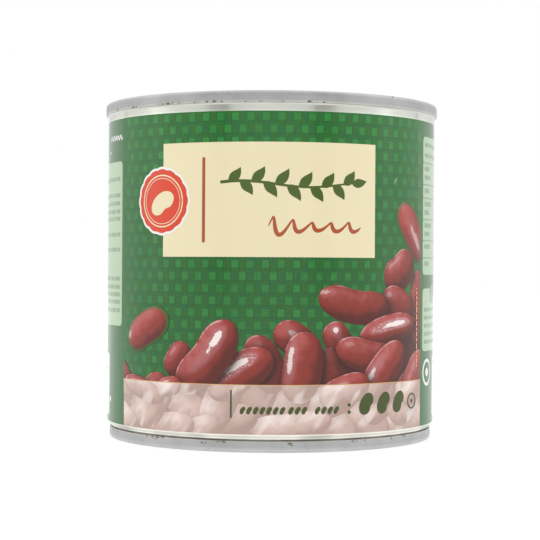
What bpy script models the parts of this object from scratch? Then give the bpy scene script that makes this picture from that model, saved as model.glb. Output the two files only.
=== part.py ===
"""A short round food can, shut: a solid filled body between two double-seamed ends.

Metres, +Z up. The origin is the centre of the ring that the can stands on.
"""

import math

import bmesh
import bpy

MM = 0.001

# Driving dimensions, in millimetres.
CAN_HEIGHT = 84.2
BODY_RADIUS = 41.85
PLATE_THICKNESS = 0.4
GAP = 0.3
SEGMENTS = 72

# The double seams. The lower one is narrower, so that one can nests in the next one's top.
TOP_SEAM_RADIUS = 42.5
TOP_SEAM_HEIGHT = 2.8
BOTTOM_SEAM_RADIUS = 41.2
BOTTOM_SEAM_HEIGHT = 2.7
SEAM_THICKNESS = 1.3
SEAM_CROWN_WIDTH = 0.5

# The neck that draws the body in to the lower seam.
NECK_START = 4.5
NECK_END_RADIUS = 40.8

# Depths in an end, measured from the seam's crown towards the contents.
VALLEY_DEPTH = 3.7
MIDDLE_DEPTH = 3.3
RAISED_DEPTH = 2.9

# Widths of an end's wall, valley and pressed rings, going in from the seam.
WALL_TAPER = 0.35
VALLEY_WIDTH = 1.1
OUTER_RING_WIDTH = 3.4
MIDDLE_RING_WIDTH = 9.0
STEP_RUN = 0.8
CENTRE_RADIUS = 15.0


def end_face(seam_inner_radius):
    """(radius, depth) points of an end's outer face, from its middle out to the foot of its wall."""
    foot = seam_inner_radius - WALL_TAPER
    outer_ring = foot - VALLEY_WIDTH - STEP_RUN
    middle_ring = outer_ring - OUTER_RING_WIDTH - STEP_RUN
    inner_ring = middle_ring - MIDDLE_RING_WIDTH
    return [
        (0.0, MIDDLE_DEPTH),
        (CENTRE_RADIUS, MIDDLE_DEPTH),
        (CENTRE_RADIUS + STEP_RUN, RAISED_DEPTH),
        (inner_ring, RAISED_DEPTH),
        (inner_ring + STEP_RUN, MIDDLE_DEPTH),
        (middle_ring, MIDDLE_DEPTH),
        (middle_ring + STEP_RUN, RAISED_DEPTH),
        (outer_ring, RAISED_DEPTH),
        (outer_ring + STEP_RUN, VALLEY_DEPTH),
        (foot, VALLEY_DEPTH),
    ]


def face_behind(seam_inner_radius, distance):
    """The end's outer face moved in towards the contents, and its foot out towards the body wall."""
    moved = [(radius, depth + distance) for radius, depth in end_face(seam_inner_radius)]
    foot_radius, foot_depth = moved.pop()
    return moved + [(foot_radius + distance, foot_depth)]


def end_section(seam_radius, seam_height):
    """Closed (radius, depth) section of an end: the plate, its wall and the seam round it."""
    inner = seam_radius - SEAM_THICKNESS
    shoulder = (SEAM_THICKNESS - SEAM_CROWN_WIDTH) / 2
    behind = face_behind(inner, PLATE_THICKNESS)
    seam = [
        (inner, shoulder),
        (inner + shoulder, 0.0),
        (seam_radius - shoulder, 0.0),
        (seam_radius, shoulder),
        (seam_radius, seam_height),
        (behind[-1][0], seam_height),
    ]
    return end_face(inner) + seam + behind[::-1]


def body_section():
    """(radius, height) section of the filled body, from the middle of its foot to the middle of its top."""
    clearance = PLATE_THICKNESS + GAP
    foot = face_behind(BOTTOM_SEAM_RADIUS - SEAM_THICKNESS, clearance)
    head = face_behind(TOP_SEAM_RADIUS - SEAM_THICKNESS, clearance)
    low_edge = BOTTOM_SEAM_HEIGHT + GAP
    high_edge = CAN_HEIGHT - TOP_SEAM_HEIGHT - GAP
    wall = [
        (foot[-1][0], low_edge),
        (NECK_END_RADIUS, low_edge),
        (BODY_RADIUS, NECK_START),
        (BODY_RADIUS, high_edge),
        (head[-1][0], high_edge),
    ]
    return foot + wall + [(radius, CAN_HEIGHT - depth) for radius, depth in head[::-1]]


def turned_solid(name, section, material):
    """A closed solid turned about Z from (radius, height) points whose first and last lie on the axis."""
    solid = bmesh.new()
    points = [solid.verts.new((radius * MM, 0.0, height * MM)) for radius, height in section]
    lines = [solid.edges.new(pair) for pair in zip(points, points[1:])]
    bmesh.ops.spin(
        solid,
        geom=points + lines,
        axis=(0.0, 0.0, 1.0),
        cent=(0.0, 0.0, 0.0),
        angle=2 * math.pi,
        steps=SEGMENTS,
        use_merge=True,
    )
    bmesh.ops.remove_doubles(solid, verts=solid.verts, dist=0.001 * MM)
    bmesh.ops.recalc_face_normals(solid, faces=solid.faces)
    mesh = bpy.data.meshes.new(name)
    solid.to_mesh(mesh)
    solid.free()
    mesh.shade_smooth()
    mesh.set_sharp_from_angle(angle=math.radians(25))
    mesh.materials.append(material)
    part = bpy.data.objects.new(name, mesh)
    bpy.context.scene.collection.objects.link(part)
    return part


def principled(name, color, roughness, metallic):
    """A material with one colour, roughness and metallic value."""
    material = bpy.data.materials.new(name)
    material.use_nodes = True
    shader = material.node_tree.nodes["Principled BSDF"]
    shader.inputs["Base Color"].default_value = (*color, 1.0)
    shader.inputs["Roughness"].default_value = roughness
    shader.inputs["Metallic"].default_value = metallic
    return material


def build_body():
    """The printed wall and what it holds, necked in at its foot, with a recess for each end."""
    printed = principled("printed_tinplate", (0.12, 0.26, 0.12), 0.35, 0.0)
    return turned_solid("can_body", body_section(), printed)


def build_top(tinplate):
    """The upper end, whose seam stands out past the body wall."""
    section = end_section(TOP_SEAM_RADIUS, TOP_SEAM_HEIGHT)
    upright = [(radius, CAN_HEIGHT - depth) for radius, depth in section]
    return turned_solid("top_end", upright, tinplate)


def build_bottom(tinplate):
    """The lower end, whose seam is the ring that the can stands on."""
    section = end_section(BOTTOM_SEAM_RADIUS, BOTTOM_SEAM_HEIGHT)
    return turned_solid("bottom_end", section, tinplate)


def main():
    for old in list(bpy.data.objects):
        bpy.data.objects.remove(old, do_unlink=True)
    tinplate = principled("tinplate", (0.62, 0.62, 0.6), 0.3, 1.0)
    build_body()
    build_top(tinplate)
    build_bottom(tinplate)


main()
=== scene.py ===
"""A shut, printed can of beans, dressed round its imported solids.

A place on the wall is (across, up) in millimetres: across runs round the wall to the right
from the middle of the front, and up from the surface that the can stands on.
"""

import math

import bpy
import numpy as np
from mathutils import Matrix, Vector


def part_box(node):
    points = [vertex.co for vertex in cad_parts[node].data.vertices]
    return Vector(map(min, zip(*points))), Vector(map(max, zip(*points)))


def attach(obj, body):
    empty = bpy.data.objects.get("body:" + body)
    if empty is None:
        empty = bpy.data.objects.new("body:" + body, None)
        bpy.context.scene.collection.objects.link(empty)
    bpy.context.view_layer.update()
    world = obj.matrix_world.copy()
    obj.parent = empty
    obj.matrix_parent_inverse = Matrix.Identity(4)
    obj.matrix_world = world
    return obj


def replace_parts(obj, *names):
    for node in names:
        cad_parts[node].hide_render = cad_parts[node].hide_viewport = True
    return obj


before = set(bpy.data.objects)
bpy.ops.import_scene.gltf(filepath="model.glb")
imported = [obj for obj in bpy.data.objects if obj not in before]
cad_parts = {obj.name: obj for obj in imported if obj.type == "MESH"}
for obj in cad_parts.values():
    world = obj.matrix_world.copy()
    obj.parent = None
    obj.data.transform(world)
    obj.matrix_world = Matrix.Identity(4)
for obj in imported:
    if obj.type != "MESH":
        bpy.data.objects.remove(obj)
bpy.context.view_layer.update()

MM = 0.001

# The camera: level with the middle of the can, nearly five can widths away, so that both rims curve.
# Its distance, height and lens follow from the rims' curves and the can's outline in the photo.
CAMERA_DISTANCE = 400.0
CAMERA_HEIGHT = 43.1
SENSOR_WIDTH = 36
LENS = 103.06
CAMERA_ROLL = 0.006
PICTURE_SIDE = 540
CAN_RIGHT_OF_CENTRE = 0.7
HORIZON_ABOVE_CENTRE = 2.56


def in_scene(name, data):
    """A new object in the scene, at the origin, that holds the data."""
    thing = bpy.data.objects.new(name, data)
    bpy.context.scene.collection.objects.link(thing)
    return thing


camera_data = bpy.data.cameras.new("camera")
camera_data.sensor_width = SENSOR_WIDTH
camera_data.lens = LENS
camera_data.shift_x = -CAN_RIGHT_OF_CENTRE / PICTURE_SIDE
camera_data.shift_y = -HORIZON_ABOVE_CENTRE / PICTURE_SIDE
camera_data.clip_start = 10 * MM
camera = in_scene("camera", camera_data)
camera.location = (0, -CAMERA_DISTANCE * MM, CAMERA_HEIGHT * MM)
camera.rotation_euler = (math.pi / 2, -CAMERA_ROLL, 0)
bpy.context.scene.camera = camera
bpy.context.scene.view_settings.view_transform = "Standard"
bpy.context.scene.view_settings.look = "None"


# The light: an even white tent, as (degrees round from the camera, brightness). The camera's opening
# is a little dimmer and its two edges are dark. A lamp glows through each side, and the tent's back
# corners show as a thin dim line.
TENT_BRIGHTNESS = 1.6
TENT_TOP = 1.12
TENT_TOP_START, TENT_TOP_FULL = 0.5, 0.85
TENT = (
    (0, 1.07), (10, 1.08), (18, 1.02), (25, 0.94), (28.5, 0.83), (30, 0.55), (33, 0.60), (40, 0.64),
    (43, 0.74), (46, 0.94), (52, 1.03), (61, 1.09), (70, 1.18), (78, 1.36), (87, 1.56), (95, 1.27),
    (103, 1.21), (112, 1.17), (118, 1.13), (119.5, 1.14), (120.4, 0.72), (121.6, 0.72), (122.5, 1.16),
    (137, 1.13), (145, 1.01), (154, 0.93), (165, 0.93), (180, 0.95),
)


class Varying:
    """A number, colour or direction that varies from point to point: arithmetic on it adds shader nodes."""

    def __init__(self, socket):
        self.socket = socket

    def __add__(self, other):
        return worked_out("ADD", self, other)

    def __sub__(self, other):
        return worked_out("SUBTRACT", self, other)

    def __rsub__(self, other):
        return worked_out("SUBTRACT", other, self)

    def __mul__(self, other):
        return worked_out("MULTIPLY", self, other)

    def __truediv__(self, other):
        return worked_out("DIVIDE", self, other)


def tree_of(*values):
    """The node tree of the first varying value."""
    return next(value.socket.id_data for value in values if isinstance(value, Varying))


def fill(node, inputs):
    """Sets each named or numbered input of a node, or links it where the value varies."""
    for place, value in inputs.items():
        if isinstance(value, Varying):
            node.id_data.links.new(value.socket, node.inputs[place])
        else:
            node.inputs[place].default_value = value


def add_node(tree, kind, inputs=None, output=0, **settings):
    """The varying output of a new node."""
    node = tree.nodes.new("ShaderNode" + kind)
    for name, value in settings.items():
        setattr(node, name, value)
    fill(node, inputs or {})
    return Varying(node.outputs[output])


def worked_out(operation, *values, clamp=False):
    """The outcome of one arithmetic step on the values."""
    tree = tree_of(*values)
    return add_node(tree, "Math", dict(enumerate(values)), operation=operation, use_clamp=clamp)


def parts(vector):
    """The three components of a direction or a place."""
    apart = add_node(tree_of(vector), "SeparateXYZ", {0: vector})
    return [Varying(socket) for socket in apart.socket.node.outputs]


def mixed(factor, first, second, blend="MIX"):
    """First where the factor is 0 and second where it is 1, as a colour."""
    inputs = {0: factor, 6: first, 7: second}
    tree = tree_of(factor, first, second)
    return add_node(tree, "Mix", inputs, 2, data_type="RGBA", blend_type=blend)


def step_up(value, low, high):
    """0 below low, 1 above high, and a smooth rise between them."""
    inputs = {"Value": value, "From Min": low, "From Max": high}
    return add_node(tree_of(value), "MapRange", inputs, interpolation_type="SMOOTHSTEP")


def grey(value):
    return (value, value, value, 1.0)


tent = bpy.data.worlds.new("tent")
tent.use_nodes = True
bpy.context.scene.world = tent
tree = tent.node_tree
tree.nodes.clear()
to_right, to_back, to_top = parts(add_node(tree, "TexCoord", output="Generated"))
azimuth = worked_out("ARCTAN2", worked_out("ABSOLUTE", to_right), to_back * -1)
walls = add_node(tree, "ValToRGB", {0: azimuth / math.pi})
stops = walls.socket.node.color_ramp.elements
while len(stops) < len(TENT):
    stops.new(0.5)
for stop, (degrees, brightness) in zip(stops, TENT):
    stop.position = degrees / 180
    stop.color = grey(brightness / TENT_BRIGHTNESS)
overhead = step_up(worked_out("ABSOLUTE", to_top), TENT_TOP_START, TENT_TOP_FULL)
inside = mixed(overhead, walls, grey(TENT_TOP / TENT_BRIGHTNESS))
seen = add_node(tree, "LightPath", output="Is Camera Ray")
shown = mixed(seen, inside, grey(1.0 / TENT_BRIGHTNESS))
light = add_node(tree, "Background", {"Color": shown, "Strength": TENT_BRIGHTNESS})
fill(tree.nodes.new("ShaderNodeOutputWorld"), {"Surface": light})


# The floor: white board, lit from below as well, so that only a faint shadow shows under the can.
FLOOR_SIDE = 4.0
FLOOR_UP = -0.05
FLOOR_GLOW = 0.68
FLOOR_COLOR = (0.42, 0.42, 0.42, 1.0)


def new_material(name):
    """A material and its node tree."""
    material = bpy.data.materials.new(name)
    material.use_nodes = True
    return material, material.node_tree


def set_finish(tree, inputs):
    """Sets or links the inputs of a material's shader."""
    fill(tree.nodes["Principled BSDF"], inputs)


white_board, tree = new_material("white_board")
set_finish(tree, {
    "Base Color": FLOOR_COLOR, "Roughness": 0.9, "Specular IOR Level": 0.0,
    "Emission Color": grey(1.0), "Emission Strength": FLOOR_GLOW,
})
side = FLOOR_SIDE / 2
corners = [(-side, -side), (side, -side), (side, side), (-side, side)]
floor_mesh = bpy.data.meshes.new("floor")
floor_mesh.from_pydata([(x, y, FLOOR_UP * MM) for x, y in corners], [], [(0, 1, 2, 3)])
floor_mesh.materials.append(white_board)
in_scene("floor", floor_mesh)


# The wall: tinplate rolled to a tube and welded up one side, drawn in at its foot to meet the lower
# seam and flared at its head into the upper one. The bare metal shows above and below the print and
# in the strip along the weld.
WALL_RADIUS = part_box("can_body")[1].x / MM
CAN_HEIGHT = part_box("top_end")[1].z / MM
TOP_SEAM_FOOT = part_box("can_body")[1].z / MM + 0.3
NECK_RADIUS = 40.7
FLARE_HEIGHT, FLARE_REACH = 0.26, 0.21
CONTENTS_LOW, CONTENTS_HIGH = 4.4, 79.6
TURN_STEPS = 480
PRINT_LOW = 4.3
PRINT_HIGH = 79.45
WALL_COLOR = (0.575, 0.585, 0.53)
# Painted highlight and painted reflection of the green: a paler, greener band of tin just above the print.
PRINT_EDGE_HIGHLIGHT_COLOR = (0.615, 0.655, 0.575)
# Painted highlight: the tin in the crease just under the top seam is painted lighter.
CREASE_HIGHLIGHT_COLOR = (0.60, 0.595, 0.55)
# Painted light on the drawn-in foot: a painted highlight just below the print, painted shade on the bend and
# a painted highlight at the foot.
NECK_HIGHLIGHT_COLOR = (0.88, 0.86, 0.80)
NECK_BEND_SHADE_COLOR = (0.66, 0.65, 0.57)
NECK_FOOT_HIGHLIGHT_COLOR = (0.90, 0.89, 0.83)
BLOTCHES_PER_METRE = 140.0
# Painted reflections on the drawn-in foot: patches of brighter and darker tin round the wall.
REFLECTION_PATCHES_PER_METRE = (85.0, 85.0, 30.0)
REFLECTION_PATCH_DARKEST, REFLECTION_PATCH_SPREAD = -0.30, 0.42
SHARP_ANGLE = math.radians(40)


def rounded(corners, steps=6):
    """(radius, height) points with each corner (radius, height, fillet) turned into an arc.

    The arc touches both sides at fillet / tan(half the corner's angle) from the corner, and its
    points lie at equal angles about a centre on the corner's bisector.
    """
    corners = np.array(corners, float)
    points = [corners[0, :2]]
    for before, corner, after in zip(corners, corners[1:], corners[2:]):
        fillet = corner[2]
        to_before, to_after = before[:2] - corner[:2], after[:2] - corner[:2]
        to_before, to_after = to_before / np.linalg.norm(to_before), to_after / np.linalg.norm(to_after)
        half = math.acos(np.clip(to_before @ to_after, -1, 1)) / 2
        if fillet == 0 or half > math.pi / 2 - 0.01:
            points.append(corner[:2])
            continue
        bisector = (to_before + to_after) / np.linalg.norm(to_before + to_after)
        centre = corner[:2] + bisector * fillet / math.sin(half)
        start = corner[:2] + to_before * fillet / math.tan(half) - centre
        end = corner[:2] + to_after * fillet / math.tan(half) - centre
        sweep = math.pi - 2 * half
        share = np.linspace(0, 1, steps)[:, None]
        arc = np.sin((1 - share) * sweep) * start + np.sin(share * sweep) * end
        points.extend(centre + arc / math.sin(sweep))
    points.append(corners[-1, :2])
    return np.array(points)


def as_columns(*arrays):
    """The arrays as the columns of one, each spread out to the size that they share."""
    return np.stack(np.broadcast_arrays(*arrays), axis=-1)


def finished(name, mesh, material):
    """A smooth piece that rides with the can and takes its finish from the slot."""
    mesh.shade_smooth()
    mesh.materials.append(material)
    piece = in_scene(name, mesh)
    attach(piece, "root")
    return piece


def turned(name, section, material, node):
    """A closed solid of revolution from a section that starts and ends on the axis, in a node's place.

    A point (radius, height) becomes (radius sin a, -radius cos a, height) at equal angles a, rings
    that follow each other are joined by quads, and each end of the section closes to one point.
    """
    angles = np.arange(TURN_STEPS) * 2 * math.pi / TURN_STEPS
    rings = section[1:-1]
    x = rings[:, :1] * np.sin(angles)
    y = -rings[:, :1] * np.cos(angles)
    body = as_columns(x, y, rings[:, 1:]).reshape(-1, 3)
    poles = np.array([(0, 0, section[0, 1]), (0, 0, section[-1, 1])])
    step = np.arange(TURN_STEPS)
    after = (step + 1) % TURN_STEPS
    low = (np.arange(len(rings) - 1) * TURN_STEPS)[:, None]
    high = low + TURN_STEPS
    quads = as_columns(low + step, low + after, high + after, high + step)
    last = (len(rings) - 1) * TURN_STEPS
    start_fan = as_columns(len(body), after, step)
    end_fan = as_columns(len(body) + 1, last + step, last + after)
    faces = quads.reshape(-1, 4).tolist() + start_fan.tolist() + end_fan.tolist()
    mesh = bpy.data.meshes.new(name)
    mesh.from_pydata(np.concatenate([body, poles]) * MM, [], faces)
    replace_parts(finished(name, mesh, material), node)
    mesh.set_sharp_from_angle(angle=SHARP_ANGLE)


def noise(place, scale, detail, layer=None):
    """Soft random blotches, with scale of them to a unit of place, or to one along each axis."""
    tree = tree_of(place)
    if isinstance(scale, tuple):
        place = add_node(tree, "Mapping", {"Vector": place, "Scale": scale})
        scale = 1.0
    inputs = {"Vector": place, "Scale": scale, "Detail": detail}
    if layer is None:
        return add_node(tree, "TexNoise", inputs)
    return add_node(tree, "TexNoise", {**inputs, "W": layer}, noise_dimensions="4D")


def dimmed(color, brightness):
    """A colour times a varying brightness."""
    shades = add_node(tree_of(brightness), "CombineColor", {0: brightness, 1: brightness, 2: brightness})
    return mixed(1.0, color, shades, "MULTIPLY")


def relief(height, micrometres):
    """The surface's slant where it rises and falls with the height, by so many micrometres."""
    inputs = {"Height": height, "Strength": 1.0, "Distance": micrometres * 1e-6}
    return add_node(tree_of(height), "Bump", inputs)


def tinplate(name, color, roughness, lines, blotch=0.06, groove=0.25, zones=(), reflections_below=None):
    """Bare tin over steel.

    Its colour wanders by blotch over several millimetres, and fine rolled lines change its gloss
    and its height by groove micrometres. lines is how many lie in a metre along X, Y and Z. A zone
    (axis, start, full, color, roughness) turns the tin to another as a point goes "up" or "out".
    Below the height that the last argument gives, painted reflections make the tin brighter and darker by
    turns round the wall, a few to a side.
    """
    material, tree = new_material(name)
    place = add_node(tree, "TexCoord", output="Object")
    cloud = noise(place, BLOTCHES_PER_METRE, 3.0)
    grain = noise(place, lines, 2.0)
    x, y, up = parts(place)
    out = worked_out("SQRT", x * x + y * y)
    color += (1.0,)
    for axis, start, full, zone_color, zone_roughness in zones:
        share = step_up({"up": up, "out": out}[axis], min(start, full) * MM, max(start, full) * MM)
        if start > full:
            share = 1.0 - share
        color = mixed(share, color, zone_color + (1.0,))
        roughness = share * (zone_roughness - roughness) + roughness
    tint = (grain * 0.4 + cloud * 0.6) * (4 * blotch) + (1 - 2 * blotch)
    if reflections_below:
        reflection_patches = step_up(noise(place, REFLECTION_PATCHES_PER_METRE, 1.0), 0.32, 0.66) * REFLECTION_PATCH_SPREAD + REFLECTION_PATCH_DARKEST
        above = step_up(up, (reflections_below - 0.4) * MM, reflections_below * MM)
        tint += reflection_patches * (1.0 - above)
    set_finish(tree, {
        "Base Color": dimmed(color, tint), "Roughness": (grain * 0.6 + 0.7) * roughness,
        "Normal": relief(grain, groove), "Metallic": 1.0,
    })
    return material


# The wall's bands: a painted highlight in the crease under the top seam, a painted highlight and reflection
# just above the print, plain tin under the print's top edge, and painted light on the drawn-in foot.
wall_zones = (
    ("up", TOP_SEAM_FOOT - 0.3, TOP_SEAM_FOOT - 0.1, CREASE_HIGHLIGHT_COLOR, 0.2),
    ("up", PRINT_HIGH + 0.65, PRINT_HIGH + 0.25, PRINT_EDGE_HIGHLIGHT_COLOR, 0.15),
    ("up", PRINT_HIGH - 0.15, PRINT_HIGH - 0.35, WALL_COLOR, 0.12),
    ("up", PRINT_LOW + 0.7, PRINT_LOW + 0.2, NECK_HIGHLIGHT_COLOR, 0.12),
    ("up", PRINT_LOW - 0.2, PRINT_LOW - 0.6, NECK_BEND_SHADE_COLOR, 0.2),
    ("up", PRINT_LOW - 0.75, PRINT_LOW - 1.05, NECK_FOOT_HIGHLIGHT_COLOR, 0.35),
)
wall_tin = tinplate(
    "wall_tinplate", WALL_COLOR, 0.12, (260.0, 260.0, 2600.0),
    blotch=0.09, zones=wall_zones, reflections_below=PRINT_LOW,
)
wall_section = rounded([
    (0.0, CONTENTS_LOW, 0), (39.5, CONTENTS_LOW, 0), (40.15, 2.0, 0), (40.5, 2.0, 0),
    (NECK_RADIUS, 2.85, 0.2), (NECK_RADIUS + 0.3, 3.1, 0.5), (WALL_RADIUS, 4.6, 1.3),
    (WALL_RADIUS, 40.0, 0), (WALL_RADIUS, TOP_SEAM_FOOT - FLARE_HEIGHT, 0.4),
    (WALL_RADIUS + FLARE_REACH, TOP_SEAM_FOOT - 0.02, 0), (41.4, TOP_SEAM_FOOT - 0.02, 0),
    (41.1, CONTENTS_HIGH, 0), (0.0, CONTENTS_HIGH, 0),
], steps=9)
turned("wall", wall_section, wall_tin, "can_body")


# The ends: tinplate discs pressed with rings so that they can breathe in the cooker, and folded
# twice with the wall into a double seam. The lower one is narrower, to sit in another can's top.
# Its tin is dull on the seam, with painted highlights on the crown and the folded edge, and glossy within.
TOP_SEAM_COLOR = (0.385, 0.39, 0.385)
BOTTOM_SEAM_COLOR = (0.425, 0.435, 0.43)
SEAM_EDGE_HIGHLIGHT_COLOR = (0.51, 0.50, 0.47)
CROWN_HIGHLIGHT_COLOR = (0.54, 0.545, 0.545)
PANEL_COLOR = (0.62, 0.615, 0.60)
LID_LINES = (3200.0, 160.0, 900.0)
BOTTOM_SEAM_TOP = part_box("can_body")[0].z / MM - 0.3
PANEL_DEPTH, RAISED_DEPTH, GROOVE_DEPTH, UNDERSIDE_DEPTH = 3.3, 2.9, 3.7, 4.1
BEAD_SLOPE = 0.8


def end_section(seam_radius, seam_height):
    """(radius, depth) section of an end, depth measured from the seam's crown towards the contents."""
    inner = seam_radius - 1.3
    foot = inner - 0.35
    outer_ring = foot - 1.9
    middle_ring = outer_ring - 4.2
    inner_ring = middle_ring - 9.0
    return rounded([
        (0, PANEL_DEPTH, 0), (15.0, PANEL_DEPTH, 1.2), (15.0 + BEAD_SLOPE, RAISED_DEPTH, 1.2),
        (inner_ring, RAISED_DEPTH, 1.2), (inner_ring + BEAD_SLOPE, PANEL_DEPTH, 1.2),
        (middle_ring, PANEL_DEPTH, 1.2), (middle_ring + BEAD_SLOPE, RAISED_DEPTH, 1.2),
        (outer_ring, RAISED_DEPTH, 0.7), (outer_ring + BEAD_SLOPE, GROOVE_DEPTH, 0.4),
        (foot, GROOVE_DEPTH, 0.35), (inner, 0.6, 1.2), (inner + 0.08, 0.0, 0.45),
        (seam_radius - 0.1, 0.0, 0.5), (seam_radius, 1.1, 1.5), (seam_radius - 0.05, seam_height, 0.18),
        (seam_radius - 0.42, seam_height, 0), (seam_radius - 0.5, seam_height - 0.7, 0),
        (inner + 0.25, seam_height - 0.7, 0), (foot + 0.4, UNDERSIDE_DEPTH, 0), (0, GROOVE_DEPTH, 0),
    ])


def end_tin(name, seam_radius, seam_color, crown, edge):
    """An end's tin, with the heights where the painted highlights on the crown and edge start and are full.
    """
    zones = (
        ("up", *crown, CROWN_HIGHLIGHT_COLOR, 0.38), ("up", *edge, SEAM_EDGE_HIGHLIGHT_COLOR, 0.38),
        ("out", seam_radius - 1.25, seam_radius - 1.45, PANEL_COLOR, 0.24),
    )
    return tinplate(name, seam_color, 0.4, LID_LINES, blotch=0.15, groove=0.35, zones=zones)


top_section = end_section(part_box("top_end")[1].x / MM, CAN_HEIGHT - TOP_SEAM_FOOT)
top_section[:, 1] = CAN_HEIGHT - top_section[:, 1]
top_tin = end_tin(
    "top_end_tinplate", top_section[:, 0].max(), TOP_SEAM_COLOR,
    (CAN_HEIGHT - 0.9, CAN_HEIGHT - 0.1), (TOP_SEAM_FOOT + 0.7, TOP_SEAM_FOOT + 0.1),
)
turned("top_end_plate", top_section[::-1], top_tin, "top_end")
bottom_section = end_section(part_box("bottom_end")[1].x / MM, BOTTOM_SEAM_TOP)
bottom_tin = end_tin(
    "bottom_end_tinplate", bottom_section[:, 0].max(), BOTTOM_SEAM_COLOR,
    (1.3, 0.5), (BOTTOM_SEAM_TOP - 0.3, BOTTOM_SEAM_TOP - 0.1),
)
turned("bottom_end_plate", bottom_section, bottom_tin, "bottom_end")


# The ground colour: green ink rolled on the flat sheet before it was rolled up, so it stops short
# of both seams and of the weld. Gloss varnish covers it and every colour printed over it.
WELD_ACROSS = -82.6
WELD_STRIP = 4.2
GIRTH = 2 * math.pi * WALL_RADIUS
GREEN = (0.010, 0.118, 0.016)
VARNISH_SHINE = 0.46
VARNISH_DULLNESS = 0.13
VARNISH_WAVE = 1.2
FACET = 0.6
GROUND_LIFT = 0.012


def sheet_of(points):
    """(points, faces) of a grid of points, rows by columns, joined by quads."""
    rows, columns = points.shape[:2]
    corner = (np.arange(rows - 1) * columns)[:, None] + np.arange(columns - 1)
    faces = as_columns(corner, corner + 1, corner + columns + 1, corner + columns)
    return points.reshape(-1, 2), faces.reshape(-1, 4).tolist()


def panel(left, right, low, high, corner=0.0):
    """An upright sheet with round corners, as rows of points from side to side.

    Past a corner's start each row is drawn in by corner (1 - cos a) at height corner sin a.
    """
    turn = np.linspace(0, math.pi / 2, 6 if corner else 1)
    rise, draw_in = corner * np.sin(turn), corner * (1 - np.cos(turn))
    up = np.concatenate([low + corner - rise[::-1], high - corner + rise])
    inset = np.concatenate([draw_in[::-1], draw_in])[:, None]
    share = np.linspace(0, 1, max(2, math.ceil((right - left) / FACET) + 1))
    across = (left + inset) * (1 - share) + (right - inset) * share
    return sheet_of(as_columns(across, up[:, None]))


def lay_on_wall(name, shapes, lift, material, turn=0.0, fields=None):
    """Flat shapes bent round the wall and held lift millimetres off it.

    Round the wall by across + turn, a point is at angle a = (across + turn) / radius, so it is
    ((radius + lift) sin a, -(radius + lift) cos a, up). The lift is one number, one for each shape
    or a function of up. Every point keeps its flat place, and fields holds more values for the points.
    """
    points = np.concatenate([shape[0] for shape in shapes])
    starts = np.cumsum([0] + [len(shape[0]) for shape in shapes])
    faces = [[i + start for i in face] for start, shape in zip(starts, shapes) for face in shape[1]]
    if callable(lift):
        lifts = lift(points[:, 1])
    else:
        lifts = np.repeat(np.broadcast_to(lift, len(shapes)), np.diff(starts))
    angle = (points[:, 0] + turn) / WALL_RADIUS
    radius = WALL_RADIUS + lifts
    bent = as_columns(radius * np.sin(angle), -radius * np.cos(angle), points[:, 1])
    mesh = bpy.data.meshes.new(name)
    mesh.from_pydata(bent * MM, [], faces)
    for field, values in {"place": as_columns(*points.T, 0.0), **(fields or {})}.items():
        kind, key = ("FLOAT_VECTOR", "vector") if values.ndim == 2 else ("FLOAT", "value")
        stored = mesh.attributes.new(field, kind, "POINT")
        stored.data.foreach_set(key, values.astype(np.float32).ravel())
    finished(name, mesh, material)


def varnished(tree, color):
    """Sets a colour under a gloss varnish with a faintly waved surface."""
    wave = noise(add_node(tree, "TexCoord", output="Object"), 520.0, 2.0)
    gloss = wave * (VARNISH_DULLNESS * 0.5) + VARNISH_DULLNESS * 0.75
    set_finish(tree, {
        "Base Color": color, "Roughness": gloss, "Normal": relief(wave, VARNISH_WAVE),
        "Specular IOR Level": VARNISH_SHINE,
    })


def ink(name, color, wander=0.05):
    """One printed colour: it wanders a little over several millimetres and is finely speckled."""
    material, tree = new_material(name)
    place = add_node(tree, "TexCoord", output="Object")
    share = noise(place, 4200.0, 1.0) * 0.45 + noise(place, 110.0, 2.0) * 0.55
    dark = tuple(c * (1 - 2 * wander) for c in color) + (1.0,)
    pale = tuple(min(c * (1 + 2 * wander), 1.0) for c in color) + (1.0,)
    varnished(tree, mixed(share, dark, pale))
    return material


weld_edge = WELD_ACROSS + WELD_STRIP / 2
ground = panel(weld_edge, weld_edge + GIRTH - WELD_STRIP, PRINT_LOW, PRINT_HIGH)
lay_on_wall("ground_print", [ground], GROUND_LIFT, ink("ground_green_ink", GREEN, 0.06))


# The weld: the sheet's two edges overlapped and fused, a narrow line with a blue heat tint.
WELD_WIDTH = 0.9
WELD_COLOR = (0.30, 0.31, 0.34)
WELD_LIFT = 0.03

weld = panel(WELD_ACROSS - WELD_WIDTH / 2, WELD_ACROSS + WELD_WIDTH / 2, PRINT_LOW, TOP_SEAM_FOOT)
weld_tin = tinplate("weld_tinplate", WELD_COLOR, 0.28, (900.0, 900.0, 3000.0), groove=0.8)
lay_on_wall("weld_line", [weld], WELD_LIFT, weld_tin)


# The two fronts: the same picture printed on opposite sides, a field of woven-looking checks with
# light squares set like bricks, a fine dark line under each row and greyer threads between. A half
# or a place is a share of one check's width or height.
FRONTS = {"front": 0.0, "back": GIRTH / 2}
FIELD_LEFT = -42.7
FIELD_RIGHT = 45.0
CHECK_ACROSS = 3.62
CHECK_UP = 2.855
CHECK_PHASE = (-12.05, 43.9)
SQUARE_WIDE, SQUARE_HIGH = 1.6, 1.75
OUTLINE_OUTER, OUTLINE_INNER, OUTLINE_HIGH = 0.29, 0.23, 0.40
LINE_PLACE, LINE_HALF, LINE_STRENGTH = 0.38, 0.055, 0.42
THREAD_HALF, THREAD_STRENGTH = 0.17, 0.9
STRIPE_ACROSS, STRIPE_STRENGTH = 0.52, 0.08
FADE_START, FADE_FULL = 24.0, 43.0
PAINTED_SHEEN_START = 45.0
CHECK_GROUND = (0.014, 0.121, 0.010, 1.0)
CHECK_COOL = (0.005, 0.117, 0.027, 1.0)
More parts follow.
